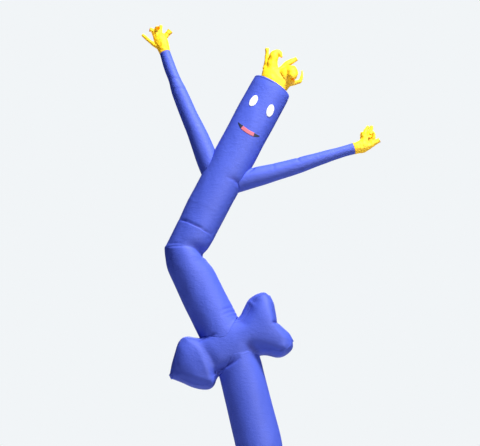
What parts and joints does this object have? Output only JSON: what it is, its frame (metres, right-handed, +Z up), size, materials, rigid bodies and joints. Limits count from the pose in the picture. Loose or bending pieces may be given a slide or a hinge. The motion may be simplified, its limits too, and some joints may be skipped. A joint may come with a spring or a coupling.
{
  "type": "inflatable air dancer",
  "caption": "Tall blown-up fabric tube figure with raised tapered arms, open-fingered gloves, tufted hair, a simple face and an arrow sewn across its waist.",
  "frame": {"origin": "on the ground, at the middle of the whole figure's width and depth; the open sleeve's centre stands at x = -0.179, y = 0", "axes": "+Z up, -Y the way the face looks, +X towards the arm that reaches out sideways"},
  "size_m": [2.5137, 0.492, 5.8476],
  "materials": {
    "blue_nylon": "coated ripstop nylon with a soft sheen",
    "yellow_nylon": "light ripstop nylon with a soft sheen",
    "white_patch": "smooth sewn-on nylon patch",
    "red_patch": "smooth sewn-on nylon patch",
    "black_patch": "smooth sewn-on nylon patch"
  },
  "bodies": {
    "root": {"body_lower": "blue_nylon", "arrow": "blue_nylon", "body_upper": "blue_nylon", "head_cap": "blue_nylon", "arm_left": "blue_nylon", "arm_right": "blue_nylon", "hand_left": "yellow_nylon", "hand_right": "yellow_nylon", "hair": "yellow_nylon", "eye_left": "white_patch", "eye_right": "white_patch", "smile_dark_left": "black_patch", "smile_red": "red_patch", "smile_dark_right": "black_patch"}
  },
  "joints": []
}
